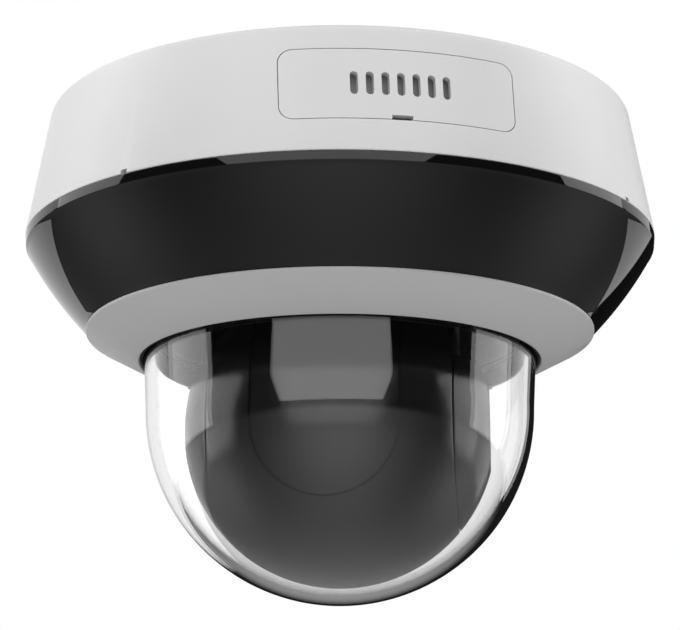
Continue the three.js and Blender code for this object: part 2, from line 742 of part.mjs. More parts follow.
const base = groupOf(
  piece('ceiling_plate', ceilingPlate(), steel),
  piece('base_housing', baseHousing(), whiteShell),
  piece('access_door', accessDoor(), whiteShell),
  piece('lock_screw', screw(2.8, 1.6, 1.5, 4.2), steel,
    [lockScrew.x, lockScrew.y, deck.bottom - gap]),
  piece('chassis_plate', chassisPlate(), aluminium),
  ...chassisScrews,
  piece('main_board', mainBoard(), circuitGreen),
  piece('soc_heatsink', socHeatsink(), aluminium),
  piece('network_jack', networkJack(), steel),
  piece('power_jack', powerJack(), blackMatte),
  piece('card_slot', cardSlot(), steel),
  piece('memory_card', memoryCard(), blackMatte),
  piece('reset_switch', resetSwitch(), blackMatte),
  piece('reset_button', rodY(resetButton.radius, -47.6, -43, resetButton.x, resetButton.z, 10),
    nylon),
  piece('cable_grommet', cableGrommet(), rubber),
  piece('pan_motor', panMotorSolid(), steel, [...panMotorPlace(), 0]),
  piece('pan_pinion', panPinionSolid(), brass, [...panMotorPlace(), 0],
    [0, 0, panMotorHeading + Math.PI + toothStep / 2]),
  piece('pan_bearing_outer', turned(loop([bearing.outerBore, bearing.bottom],
    [bearing.outer, bearing.bottom], [bearing.outer, bearing.top],
    [bearing.outerBore, bearing.top]), 24), steel),
  piece('pan_stop_pin', rod(stop.pinRadius, -14.5, -24), steel,
    [...atAzimuth(stop.circle, stop.azimuth), 0]),
  piece('home_sensor', homeSensor(), blackMatte),
  piece('ir_window', irWindow(), darkWindow),
  piece('ir_board', irBoardSolid(), circuitGreen),
  ...ledAzimuths.map((azimuth, index) => onIrBoard(`ir_led_${index + 1}`, led(), amber, azimuth)),
  onIrBoard('light_sensor', block([-1.6, 1.6], [-1.2, 1.2], [0, 1.1]), blackMatte, 20),
  piece('inner_liner', innerLiner(), linerGrey),
  piece('trim_ring', trimRing(), greyTrim),
  piece('dome_seal', domeSeal(), rubber),
  piece('dome_bubble', domeBubble(), clear),
  piece('dome_clamp_ring', domeClampRing(), aluminium),
);

// The lens parts are made along +Z and laid along the ball's +Y.
const lens = groupOf(
  piece('lens_barrel', lensBarrel(), blackMatte),
  piece('lens_bezel', lensBezel(), blackGloss),
  piece('lens_window', rod(10.9, 25.9, 27.3, 0, 0, discRound), clear),
  piece('front_lens', frontLens(), lensGlass),
  piece('zoom_group', lensCell(10.7, 7, 2.5, 1.8), lensGlass, [0, 0, 6.5]),
  piece('focus_group', lensCell(10.7, 6, 2, 1.4), lensGlass, [0, 0, -4]),
  piece('ir_cut_filter', irCutFilter(), lensGlass, [-3, 0, -8.5]),
  piece('image_sensor', block([-4.5, 4.5], [-3.5, 3.5], [-12.1, -11]), blackMatte),
  piece('sensor_board', block([-12, 12], [-11, 11], [-13.6, -12.4]), circuitGreen),
);
lens.rotation.x = -Math.PI / 2;

const eyeball = groupOf(
  piece('ball_front_shell', ballHalf(1), blackGloss),
  piece('ball_rear_shell', ballHalf(-1), blackGloss),
  piece('left_trunnion', trunnion(-1), steel),
  piece('right_trunnion', trunnion(1), steel),
  piece('tilt_motor', tiltMotorSolid(), steel, [0, -tiltCentres, 0], [0, -Math.PI / 2, 0]),
  piece('tilt_pinion', tiltPinionSolid().rotate([0, 0, -90 + 180 / tiltPinion.teeth]), brass,
    [0, -tiltCentres, 0], [0, -Math.PI / 2, 0]),
  lens,
);

const tiltFrame = groupOf(
  piece('left_side_cap', sideCap(-1), blackGloss),
  piece('right_side_cap', sideCap(1), blackGloss),
  piece('left_tilt_bush', tiltBush(-1), brass),
  piece('right_tilt_bush', tiltBush(1), brass),
  piece('tilt_gear', tiltGearSolid().rotate([0, 0, -90]), nylon, [0, 0, 0], [0, -Math.PI / 2, 0]),
  eyeball,
);
tiltFrame.position.z = ball.centreZ;

const panTurret = groupOf(
  piece('turret_yoke', turretYoke(), blackMatte),
  piece('pan_gear', gear(panGear, panGear.bottom, panGear.top, 8.3), nylon, [0, 0, 0],
    [0, 0, panMotorHeading - lensHeading]),
  piece('pan_bearing_inner', turned(loop([bearing.bore, bearing.bottom],
    [bearing.innerOutside, bearing.bottom], [bearing.innerOutside, bearing.top],
    [bearing.bore, bearing.top]), 20), steel),
  piece('pan_clip', turned(loop([bearing.bore, -10.9], [8.5, -10.9], [8.5, -10.1],
    [bearing.bore, -10.1]), 16), steel),
  piece('turret_shroud', turretShroud(), blackMatte),
  tiltFrame,
);
panTurret.rotation.z = lensHeading;

const camera = groupOf(base, panTurret);

export default camera;
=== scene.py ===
"""Looks for a ceiling-mounted dome camera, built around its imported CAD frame.

Meshes are made in millimetres and brought to metres as each piece is finished. The origin is the
centre of the ceiling plate's top face, the camera hangs below it, and the service door faces -Y.
An azimuth is counted from -Y towards +X.
"""

import json
from math import asin, cos, pi, radians, sin, sqrt, tan

import bmesh
import bpy
from mathutils import Matrix, Vector


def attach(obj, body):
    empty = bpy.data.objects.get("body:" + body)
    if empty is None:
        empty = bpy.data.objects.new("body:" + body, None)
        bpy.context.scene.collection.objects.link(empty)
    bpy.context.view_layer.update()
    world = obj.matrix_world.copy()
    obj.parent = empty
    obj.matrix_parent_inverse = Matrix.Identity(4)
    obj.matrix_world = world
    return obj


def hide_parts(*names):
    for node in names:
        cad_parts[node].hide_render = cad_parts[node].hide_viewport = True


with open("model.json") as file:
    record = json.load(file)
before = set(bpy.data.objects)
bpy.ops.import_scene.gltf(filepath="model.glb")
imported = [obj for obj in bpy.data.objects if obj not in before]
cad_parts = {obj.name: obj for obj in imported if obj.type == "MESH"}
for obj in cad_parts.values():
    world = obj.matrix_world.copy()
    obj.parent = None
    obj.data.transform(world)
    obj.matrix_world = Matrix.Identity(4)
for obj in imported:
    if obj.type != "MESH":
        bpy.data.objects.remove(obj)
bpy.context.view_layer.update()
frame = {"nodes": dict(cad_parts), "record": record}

# ---------------------------------------------------------------- driving dimensions, millimetres

RIM_RADIUS = 65.2
RIM_Z = -26.9
HOUSING_TOP = -0.4
HOUSING_WALL = 2.5
DRAFT = 0.1787
DECK_TOP = -2.6
DECK_BOTTOM = -4.6
DECK_RADIUS = 57
PLATE_RADIUS = 50
STUD_CIRCLE = 30
STUD_AZIMUTHS = (60, 180, 300)
SCREW_CIRCLE = 41
SCREW_AZIMUTHS = (50, 130, 230, 310)
CABLE_Y = -49
CABLE_WIDTH = 25
CABLE_DEPTH = 10
LOCK_SCREW = (25.5, -38)
BOSS_CIRCLE = 54
NOTCH_AZIMUTH = 49.5
NOTCH_WIDTH = 1.6
NOTCH_HEIGHT = 0.9

DOOR_HALF_WIDTH = 22.6
DOOR_TOP = -5.8
DOOR_BOTTOM = -20.4
DOOR_CORNER = 2.7
DOOR_WALL = 2
VENT_COUNT = 7
VENT_PITCH = 2.95
VENT_WIDTH = 1.5
VENT_TOP = -10.6
VENT_BOTTOM = -15.4
PRY_WIDTH = 4
PRY_HEIGHT = 0.9
DOOR_GAP = 0.11

RING_RADIUS = 52.3
RING_BORE = 41.1
RING_FOOT = -52
DOME_RADIUS = 39.7
DOME_WALL = 2.1
DOME_CENTRE = -61.8
SKIRT_RADIUS = 40.4
LINER_RADIUS = 38.8

LENS_HEADING = -16.7
SHROUD_RADIUS = 37.3
ARM_INNER = 25
ARM_OUTER = 27.5
ARM_HALF_WIDTH = 7
BALL_RADIUS = 31.8
BALL_CENTRE = -66.2
BALL_HALF_WIDTH = 24
BALL_POCKET = 15.5
TILT_CENTRES = 10.62
SEAM_HALF_WIDTH = 14.35
SEAM_FOOT = -3.3
SEAM_WIDTH = 0.4
SEAM_DEPTH = 0.35
CAP_INNER = 24.15
CAP_OUTER = 30.6
BEZEL_RADIUS = 13.5

FINE = 256
ROUND = 128
SMALL = 48

CAMERA_AZIMUTH = -10.5
CAMERA_ELEVATION = -14.6
CAMERA_DISTANCE = 0.5298
CAMERA_HEIGHT = -0.0414
LENS_MM = 135.5

# ---------------------------------------------------------------- paths of (radius, z)


def rounded(points, radius=0.3, closed=True, steps=4):
    """The path with its corners as short arcs. A third number in a point is its own radius."""
    path = []
    for index, point in enumerate(points):
        corner = Vector(point[:2])
        reach = point[2] if len(point) == 3 else radius
        ends = not closed and index in (0, len(points) - 1)
        before = Vector(points[index - 1][:2]) - corner
        after = Vector(points[(index + 1) % len(points)][:2]) - corner
        reach = min(reach, 0.45 * before.length, 0.45 * after.length)
        if ends or reach == 0:
            path.append(corner)
            continue
        start = corner + before.normalized() * reach
        end = corner + after.normalized() * reach
        for step in range(steps + 1):
            t = step / steps
            path.append(start * (1 - t) ** 2 + corner * 2 * t * (1 - t) + end * t**2)
    return path


def bend(start, control, end, steps=16):
    """A quadratic curve, as path points that stay sharp."""
    points = []
    for step in range(steps + 1):
        t = step / steps
        place = [
            a * (1 - t) ** 2 + b * 2 * t * (1 - t) + c * t**2
            for a, b, c in zip(start, control, end)
        ]
        points.append((*place, 0))
    return points


def arc(centre_z, radius, first, last, steps=40):
    """Points on a circle about the axis, from one latitude to another in degrees."""
    points = []
    for step in range(steps + 1):
        angle = radians(first + (last - first) * step / steps)
        points.append((radius * cos(angle), centre_z + radius * sin(angle), 0))
    return points


# ---------------------------------------------------------------- meshes, millimetres


def at_azimuth(radius, azimuth):
    return radius * sin(radians(azimuth)), -radius * cos(radians(azimuth))


def turned(path, sides=ROUND, closed=True):
    """A body turned about Z. A path that starts and ends on the axis isn't closed on itself."""
    body = bmesh.new()
    rings = []
    for radius, z, *_ in path:
        if radius < 1e-6:
            rings.append([body.verts.new((0, 0, z))])
            continue
        ring = [body.verts.new((*at_azimuth(radius, 360 * i / sides), z)) for i in range(sides)]
        rings.append(ring)
    following = rings[1:] + rings[:1] if closed else rings[1:]
    for low, high in zip(rings, following):
        for i in range(sides):
            j = (i + 1) % sides
            corners = (low[i % len(low)], low[j % len(low)], high[j % len(high)], high[i % len(high)])
            corners = list(dict.fromkeys(corners))
            if len(corners) > 2:
                body.faces.new(corners)
    bmesh.ops.recalc_face_normals(body, faces=body.faces)
    return body


def prism(outline, z0, z1):
    """A flat outline carried between two heights."""
    body = bmesh.new()
    low = [body.verts.new((x, y, z0)) for x, y in outline]
    high = [body.verts.new((x, y, z1)) for x, y in outline]
    body.faces.new(low[::-1])
    body.faces.new(high)
    for i in range(len(low)):
        j = (i + 1) % len(low)
        body.faces.new((low[i], low[j], high[j], high[i]))
    bmesh.ops.recalc_face_normals(body, faces=body.faces)
    return body


def circle(radius, x=0, y=0, sides=SMALL):
    angles = [2 * pi * i / sides for i in range(sides)]
    return [(x + radius * cos(a), y + radius * sin(a)) for a in angles]


def rounded_rectangle(width, height, radius, x=0, y=0, steps=8):
    outline = []
    right, up = width / 2 - radius, height / 2 - radius
    for side_x, side_y, start in ((1, 1, 0), (-1, 1, 90), (-1, -1, 180), (1, -1, 270)):
        for step in range(steps + 1):
            angle = radians(start + 90 * step / steps)
            px = x + side_x * right + radius * cos(angle)
            py = y + side_y * up + radius * sin(angle)
            outline.append((px, py))
    return outline


def rod(radius, z0, z1, x=0, y=0, sides=SMALL):
    return prism(circle(radius, x, y, sides), z0, z1)


def block(x, y, z):
    return prism([(x[0], y[0]), (x[1], y[0]), (x[1], y[1]), (x[0], y[1])], *z)


def moved(body, matrix):
    bmesh.ops.transform(body, matrix=matrix, verts=body.verts)
    return body


def spun(body, azimuth):
    return moved(body, Matrix.Rotation(radians(azimuth), 4, "Z"))


def shifted(body, x=0, y=0, z=0):
    return moved(body, Matrix.Translation((x, y, z)))


def sideways(body, side):
    """A body made along Z, laid along X and pointing outwards on the side given."""
    return moved(body, Matrix.Rotation(side * pi / 2, 4, "Y"))


def forwards(body):
    """A body made along Z, laid along +Y."""
    return moved(body, Matrix.Rotation(-pi / 2, 4, "X"))


def through_y(outline, y0, y1):
    """An outline in X and Z carried from y0 to y1."""
    return moved(prism(outline, -y1, -y0), Matrix.Rotation(pi / 2, 4, "X"))


def as_object(body, name="tool"):
    mesh = bpy.data.meshes.new(name)
    body.to_mesh(mesh)
    body.free()
    thing = bpy.data.objects.new(name, mesh)
    bpy.context.scene.collection.objects.link(thing)
    return thing


def combined(body, tools, operation):
    """The body after one exact boolean with each of the tools."""
    thing = as_object(body)
    helpers = [as_object(tool) for tool in tools]
    for helper in helpers:
        modifier = thing.modifiers.new("combine", "BOOLEAN")
        modifier.operation = operation
        modifier.solver = "EXACT"
        modifier.object = helper
    shown = thing.evaluated_get(bpy.context.evaluated_depsgraph_get())
    result = bmesh.new()
    result.from_mesh(shown.to_mesh())
    for used in [thing, *helpers]:
        mesh = used.data
        bpy.data.objects.remove(used)
        bpy.data.meshes.remove(mesh)
    bmesh.ops.remove_doubles(result, verts=result.verts, dist=1e-4)
    bmesh.ops.dissolve_degenerate(result, edges=result.edges, dist=1e-4)
    return result


def cut(body, *tools):
    return combined(body, tools, "DIFFERENCE")


def joined(body, *tools):
    return combined(body, tools, "UNION")


def common(body, tool):
    return combined(body, [tool], "INTERSECT")


def softened(body, width, angle=40, steps=2):
    """Rounds every edge sharper than the angle."""
    limit = radians(angle)
    sharp = [e for e in body.edges if e.is_manifold and e.calc_face_angle(0) > limit]
    bmesh.ops.bevel(
        body, geom=sharp, offset=width, segments=steps, profile=0.6, affect="EDGES",
        clamp_overlap=True,
    )
    return body


def piece(name, body, finish, slot, rides_on, *nodes, smooth_below=32):
    """A finished piece in metres, smooth across shallow edges, standing for CAD nodes."""
    bmesh.ops.scale(body, vec=(0.001, 0.001, 0.001), verts=body.verts)
    bmesh.ops.recalc_face_normals(body, faces=body.faces)
    limit = radians(smooth_below)
    for face in body.faces:
        face.smooth = True
    for edge in body.edges:
        edge.smooth = edge.calc_face_angle(0) < limit
    thing = as_object(body, name)
    thing.data.materials.append(finish)
    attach(thing, rides_on)
    if nodes:
        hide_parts(*nodes)
    return thing


# ---------------------------------------------------------------- materials


class Nodes:
    """A material's node tree with short ways to add and link nodes."""

    def __init__(self, name):
        self.material = bpy.data.materials.new(name)
        self.material.use_nodes = True
        self.tree = self.material.node_tree
        self.shader = self.tree.nodes["Principled BSDF"]
        self.place = self.add("ShaderNodeTexCoord").outputs["Object"]

    def add(self, kind, **settings):
        node = self.tree.nodes.new(kind)
        for key, value in settings.items():
            if key in node.inputs:
                node.inputs[key].default_value = value
            else:
                setattr(node, key, value)
        return node

    def link(self, source, target):
        self.tree.links.new(source, target)

    def noise(self, size, detail=3.0, stretch=None):
        """Noise with features of a size in millimetres, pulled out along an axis by stretch."""
        node = self.add("ShaderNodeTexNoise", Scale=1000 / size, Detail=detail)
        source = self.place
        if stretch:
            mapping = self.add("ShaderNodeMapping")
            mapping.inputs["Scale"].default_value = stretch
            self.link(source, mapping.inputs["Vector"])
            source = mapping.outputs["Vector"]
        self.link(source, node.inputs["Vector"])
        return node.outputs["Fac"]

    def between(self, source, low, high, start=0.3, stop=0.7):
        """Maps a source's span from start to stop onto low to high."""
        node = self.add("ShaderNodeMapRange")
        for key, value in zip(("From Min", "From Max", "To Min", "To Max"), (start, stop, low, high)):
            node.inputs[key].default_value = value
        self.link(source, node.inputs["Value"])
        return node.outputs["Result"]

    def blend(self, factor, first, second):
        """A mix of two colours by a factor."""
        node = self.add("ShaderNodeMix", data_type="RGBA")
        self.link(factor, node.inputs["Factor"])
        for socket, colour in zip([s for s in node.inputs if s.type == "RGBA"], (first, second)):
            if isinstance(colour, bpy.types.NodeSocket):
                self.link(colour, socket)
            else:
                socket.default_value = (*colour, 1)
        return [s for s in node.outputs if s.type == "RGBA"][0]

    def bump(self, heights):
        """Stacks (source, depth in millimetres) into the surface's relief."""
        normal = None
        for source, depth in heights:
            node = self.add("ShaderNodeBump", Strength=1.0, Distance=depth * 0.001)
            self.link(source, node.inputs["Height"])
            if normal:
                self.link(normal, node.inputs["Normal"])
            normal = node.outputs["Normal"]
        self.link(normal, self.shader.inputs["Normal"])

    def set(self, **values):
        for key, value in values.items():
            self.shader.inputs[key.replace("_", " ")].default_value = value


def scaled(colour, factor):
    return tuple(channel * factor for channel in colour)


def moulded(name, colour, rough, grain=0.35, depth=0.012, tone=0.05, spread=0.06, **values):
    """Moulded plastic: eroded-tool grain, slow colour drift and faint handling marks."""
    nodes = Nodes(name)
    drift = nodes.noise(14, 2)
    colours = nodes.blend(drift, scaled(colour, 1 - tone), scaled(colour, 1 + tone))
    nodes.link(colours, nodes.shader.inputs["Base Color"])
    marks = nodes.noise(5, 5)
    shine = nodes.between(marks, rough - spread, rough + spread)
    nodes.link(shine, nodes.shader.inputs["Roughness"])
    nodes.bump([(nodes.noise(6, 2), depth), (nodes.noise(grain, 4), depth)])
    nodes.set(**values)
    return nodes.material


def polished(name, colour, rough, scratch=0.04, **values):
    """Polished plastic: hairline scratches in the gloss and a slight ripple from the mould."""
    nodes = Nodes(name)
    drift = nodes.noise(20, 2)
    colours = nodes.blend(drift, scaled(colour, 0.9), scaled(colour, 1.1))
    nodes.link(colours, nodes.shader.inputs["Base Color"])
    hairs = nodes.noise(0.8, 6, (0.05, 0.05, 1))
    haze = nodes.noise(9, 4)
    shine = nodes.between(haze, rough * 0.8, rough * 1.2)
    worn = nodes.add("ShaderNodeMath", operation="ADD")
    nodes.link(shine, worn.inputs[0])
    nodes.link(nodes.between(hairs, 0, scratch, 0.58, 0.8), worn.inputs[1])
    nodes.link(worn.outputs["Value"], nodes.shader.inputs["Roughness"])
    nodes.bump([(nodes.noise(16, 1), 0.01)])
    nodes.set(**values)
    return nodes.material


def brushed(name, colour, rough, stretch=(1, 0.02, 1), depth=0.004):
    """Metal with a brushed or drawn grain."""
    nodes = Nodes(name)
    grain = nodes.noise(0.25, 5, stretch)
    colours = nodes.blend(grain, scaled(colour, 0.86), scaled(colour, 1.06))
    nodes.link(colours, nodes.shader.inputs["Base Color"])
    shine = nodes.between(grain, rough - 0.08, rough + 0.1)
    nodes.link(shine, nodes.shader.inputs["Roughness"])
    nodes.bump([(grain, depth)])
    nodes.set(Metallic=1.0)
    return nodes.material


def spangled(name, colour, rough):
    """Zinc plating: broad crystal flakes of slightly different tone and shine."""
    nodes = Nodes(name)
    flakes = nodes.add("ShaderNodeTexVoronoi", Scale=300.0)
    nodes.link(nodes.place, flakes.inputs["Vector"])
    tone = nodes.add("ShaderNodeSeparateColor")
    nodes.link(flakes.outputs["Color"], tone.inputs["Color"])
    flake = tone.outputs["Red"]
    colours = nodes.blend(flake, scaled(colour, 0.95), scaled(colour, 1.04))
    nodes.link(colours, nodes.shader.inputs["Base Color"])
    nodes.link(nodes.between(flake, rough - 0.02, rough + 0.03, 0, 1), nodes.shader.inputs["Roughness"])
    nodes.bump([(nodes.noise(0.4, 4), 0.004)])
    nodes.set(Metallic=1.0)
    return nodes.material


def circuit(name):
    """Solder mask over copper tracks, with a scatter of bare pads."""
    nodes = Nodes(name)
    tracks = nodes.add("ShaderNodeTexBrick", Scale=260.0)
    tracks.inputs["Mortar Size"].default_value = 0.035
    for key, shade in (("Color1", 1.0), ("Color2", 0.85), ("Mortar", 1.7)):
        tracks.inputs[key].default_value = (0.012 * shade, 0.085 * shade, 0.035 * shade, 1)
    nodes.link(nodes.place, tracks.inputs["Vector"])
    pads = nodes.add("ShaderNodeTexVoronoi", Scale=420.0)
    nodes.link(nodes.place, pads.inputs["Vector"])
    bare = nodes.between(pads.outputs["Distance"], 1, 0, 0.10, 0.13)
    colours = nodes.blend(bare, tracks.outputs["Color"], (0.62, 0.47, 0.2))
    nodes.link(colours, nodes.shader.inputs["Base Color"])
    nodes.link(bare, nodes.shader.inputs["Metallic"])
    nodes.link(nodes.between(nodes.noise(2, 4), 0.28, 0.42), nodes.shader.inputs["Roughness"])
    nodes.bump([(tracks.outputs["Fac"], 0.03), (bare, 0.03)])
    return nodes.material


def clear(name, colour, ior, haze=0.012):
    """Clear moulding: a touch of handling haze in the gloss and almost no ripple."""
    nodes = Nodes(name)
    smudge = nodes.noise(11, 5)
    nodes.link(nodes.between(smudge, 0.0, haze, 0.45, 0.8), nodes.shader.inputs["Roughness"])
    nodes.bump([(nodes.noise(25, 1), 0.004)])
    nodes.set(Base_Color=(*colour, 1), IOR=ior, Transmission_Weight=1.0)
    return nodes.material


def coated_glass(name, colour, film):
    """A lens: dark glass under a thin anti-reflection film, with specks of dust."""
    nodes = Nodes(name)
    dust = nodes.noise(0.3, 2)
    speck = nodes.between(dust, 0, 1, 0.74, 0.78)
    nodes.link(nodes.blend(speck, colour, (0.08, 0.08, 0.08)), nodes.shader.inputs["Base Color"])
    nodes.link(nodes.between(speck, 0.015, 0.2, 0, 1), nodes.shader.inputs["Roughness"])
    nodes.bump([(nodes.noise(8, 1), 0.001)])
    nodes.set(IOR=1.75, Thin_Film_Thickness=film, Thin_Film_IOR=1.38)
    return nodes.material


white_shell = moulded("white_moulding", (0.80, 0.80, 0.80), 0.4, tone=0.012)
grey_trim = moulded("grey_trim", (0.55, 0.55, 0.55), 0.42, tone=0.02)
baffle_grey = moulded("baffle_grey", (0.34, 0.34, 0.34), 0.5, tone=0.04)
liner_grey = moulded("liner_grey", (0.30, 0.31, 0.31), 0.35, grain=0.25, tone=0.05)
black_plastic = moulded("black_moulding", (0.012, 0.012, 0.013), 0.5, tone=0.15)
black_gloss = polished("black_gloss", (0.006, 0.006, 0.007), 0.2)
ir_window = polished("infrared_window", (0.008, 0.008, 0.009), 0.03, scratch=0.03)
black_rubber = moulded("black_rubber", (0.014, 0.014, 0.015), 0.7, grain=0.2, depth=0.02)
nylon = moulded("natural_nylon", (0.62, 0.61, 0.56), 0.5, Subsurface_Weight=0.2)
clear_dome = clear("clear_dome", (1.0, 1.0, 1.0), 1.49)
clear_window = clear("clear_window", (0.97, 0.99, 0.99), 1.5, haze=0.006)
led_lens = clear("led_epoxy", (0.92, 0.86, 0.66), 1.54, haze=0.05)
lens_glass = coated_glass("coated_lens", (0.010, 0.012, 0.03), 330)
inner_glass = coated_glass("inner_lens", (0.012, 0.02, 0.022), 470)
sensor_glass = coated_glass("sensor_cover", (0.01, 0.02, 0.03), 220)
steel = brushed("plated_steel", (0.56, 0.56, 0.57), 0.32)
zinc_steel = spangled("zinc_sheet", (0.5, 0.51, 0.53), 0.36)
aluminium = brushed("cast_aluminium", (0.62, 0.63, 0.64), 0.42, stretch=(1, 0.3, 1), depth=0.012)
brass = brushed("machined_brass", (0.6, 0.42, 0.15), 0.3, stretch=(1, 1, 0.05))
circuit_board = circuit("circuit_board")

FINISHES = {
    "white_shell": white_shell,
    "grey_trim": grey_trim,
    "liner_grey": liner_grey,
    "black_gloss": black_gloss,
    "black_plastic": black_plastic,
    "ir_window": ir_window,
    "clear_dome": clear_dome,
    "clear_window": clear_window,
    "lens_glass": lens_glass,
    "sensor_glass": sensor_glass,
    "led_lens": led_lens,
    "steel": steel,
    "zinc_steel": zinc_steel,
    "aluminium": aluminium,
    "brass": brass,
    "circuit_board": circuit_board,
    "black_rubber": black_rubber,
    "nylon": nylon,
}

# ---------------------------------------------------------------- ceiling plate and housing


def housing_radius(z):
    return RIM_RADIUS - (z - RIM_Z) * DRAFT


def ceiling_plate():
    """A steel disc with a shallow ring groove, counterbored holes, a cable notch and mushroom studs."""
    disc = turned(
        rounded([(0, -2), (PLATE_RADIUS, -2), (PLATE_RADIUS, 0), (0, 0)], closed=False, radius=0.35),
        FINE, closed=False,
    )
    tools = [block((-13, 13), (-60, CABLE_Y + 5.5), (-3, 1)), rod(1.8, -3, 1, *LOCK_SCREW)]
    for azimuth in SCREW_AZIMUTHS:
        tools.append(rod(2.3, -3, 1, *at_azimuth(SCREW_CIRCLE, azimuth)))
        tools.append(rod(4.2, -3, -1, *at_azimuth(SCREW_CIRCLE, azimuth)))
    for azimuth in range(15, 360, 30):
        tools.append(rod(0.7, -3, 1, *at_azimuth(14, azimuth), sides=24))
    tools.append(turned(rounded([(20, -0.35), (21.2, -0.35), (21.2, 1), (20, 1)], radius=0), ROUND))
    plate = cut(disc, *tools)
    studs = []
    for azimuth in STUD_AZIMUTHS:
        profile = [(0, -6.4), (4, -6.4), (4, -4.9), (2.5, -4.9), (2.5, -1), (0, -1)]
        stud = turned(rounded(profile, closed=False, radius=0.3), SMALL, closed=False)
        studs.append(shifted(stud, *at_azimuth(STUD_CIRCLE, azimuth)))
    return joined(plate, *studs)


def housing_shell():
    """The drafted wall and its deck, with the door opening, cable hole, key slots and bosses."""
    top = housing_radius(HOUSING_TOP)
    below = HOUSING_TOP - 1.4
    path = [(0, DECK_TOP, 0), (DECK_RADIUS, DECK_TOP, 0.3), (DECK_RADIUS, HOUSING_TOP, 0.3)]
    path += bend((top - 1.4, HOUSING_TOP), (top, HOUSING_TOP), (housing_radius(below), below), 6)
    path += [
        (RIM_RADIUS, RIM_Z, 0.35),
        (RIM_RADIUS - HOUSING_WALL, RIM_Z, 0.3),
        (housing_radius(DECK_BOTTOM) - HOUSING_WALL, DECK_BOTTOM, 0.5),
        (0, DECK_BOTTOM, 0),
    ]
    tools = [
        through_y(door_outline(DOOR_GAP), -70, -52),
        prism(rounded_rectangle(CABLE_WIDTH, CABLE_DEPTH, 4.9, 0, CABLE_Y), -6, -1),
        rod(1.8, -6, -1, *LOCK_SCREW),
    ]
    for azimuth in STUD_AZIMUTHS:
        key = joined(
            rod(2.8, -6, -1, 0, -STUD_CIRCLE),
            block((0, 9), (-STUD_CIRCLE - 2.8, -STUD_CIRCLE + 2.8), (-6, -1)),
            rod(4.4, -6, -1, 9, -STUD_CIRCLE),
        )
        tools.append(spun(key, azimuth))
    for side in (-1, 1):
        across = (-NOTCH_WIDTH / 2, NOTCH_WIDTH / 2)
        notch = block(across, (-70, -RIM_RADIUS + 1.4), (RIM_Z - 1, RIM_Z + NOTCH_HEIGHT))
        tools.append(spun(notch, side * NOTCH_AZIMUTH))
    shell = cut(turned(rounded(path, closed=False), FINE, closed=False), *tools)
    bosses = []
    for azimuth in STUD_AZIMUTHS:
        profile = [(1.7, -13.7), (3.5, -13.7), (3.5, DECK_BOTTOM + 0.5), (1.7, DECK_BOTTOM + 0.5)]
        boss = turned(rounded(profile, radius=0.2), 32)
        bosses.append(shifted(boss, *at_azimuth(BOSS_CIRCLE, azimuth)))
    return joined(shell, *bosses)


def door_outline(margin):
    width = 2 * (DOOR_HALF_WIDTH + margin)
    height = DOOR_TOP - DOOR_BOTTOM + 2 * margin
    middle = (DOOR_TOP + DOOR_BOTTOM) / 2
    return rounded_rectangle(width, height, DOOR_CORNER + margin, 0, middle, 10)


def service_door():
    """A curved cover with vent slots, a pry notch and two latch tabs."""
    high, low = DOOR_TOP + 2, DOOR_BOTTOM - 2
    skin = turned([
        (housing_radius(high), high), (housing_radius(low), low),
        (housing_radius(low) - DOOR_WALL, low), (housing_radius(high) - DOOR_WALL, high),
    ], FINE)
    panel = common(skin, through_y(door_outline(-DOOR_GAP / 2), -70, -50))
    tools = [
        block((-PRY_WIDTH / 2, PRY_WIDTH / 2), (-70, -50), (DOOR_BOTTOM - 1, DOOR_BOTTOM + PRY_HEIGHT))
    ]
    middle = (VENT_TOP + VENT_BOTTOM) / 2
    for index in range(VENT_COUNT):
        x = (index - (VENT_COUNT - 1) / 2) * VENT_PITCH
        slot = rounded_rectangle(VENT_WIDTH, VENT_TOP - VENT_BOTTOM, 0.74, x, middle, 6)
        tools.append(through_y(slot, -70, -50))
    panel = softened(cut(panel, *tools), 0.12, 45)
    tabs = []
    for side in (-1, 1):
        tabs.append(softened(block((side * 17.5 - 1.5, side * 17.5 + 1.5), (-60.5, -57), (-18.6, -17)), 0.2))
    return joined(panel, *tabs)


def vent_baffle():
    """A thin curved plate close behind the vent slots that hides the boards."""
    high, low = VENT_TOP + 1.6, VENT_BOTTOM - 1.6
    front, back = DOOR_WALL + 0.6, DOOR_WALL + 1.4
    skin = turned([
        (housing_radius(high) - front, high), (housing_radius(low) - front, low),
        (housing_radius(low) - back, low), (housing_radius(high) - back, high),
    ], FINE)
    width = VENT_COUNT * VENT_PITCH + 2
    middle = (VENT_TOP + VENT_BOTTOM) / 2
    return common(skin, through_y(rounded_rectangle(width, high - low - 0.4, 1, 0, middle), -70, -50))


def grommet():
    """A rubber plug with a flange, a lip and two thin-walled lead bores."""
    plug = prism(rounded_rectangle(CABLE_WIDTH - 0.6, CABLE_DEPTH - 0.6, 4.6, 0, CABLE_Y), -6.4, -1)
    flange = prism(rounded_rectangle(CABLE_WIDTH + 3, CABLE_DEPTH + 2, 5.9, 0, CABLE_Y), -6.4, -4.9)
    groove = cut(
        prism(rounded_rectangle(CABLE_WIDTH - 3, CABLE_DEPTH - 3, 3.4, 0, CABLE_Y), -1.35, 0),
        prism(rounded_rectangle(CABLE_WIDTH - 4, CABLE_DEPTH - 4, 2.9, 0, CABLE_Y), -1.5, 0.5),
    )
    bores = [rod(3.5, -8, 0, x, CABLE_Y) for x in (-6, 6)]
    return softened(cut(joined(plug, flange), groove, *bores), 0.15, 50)


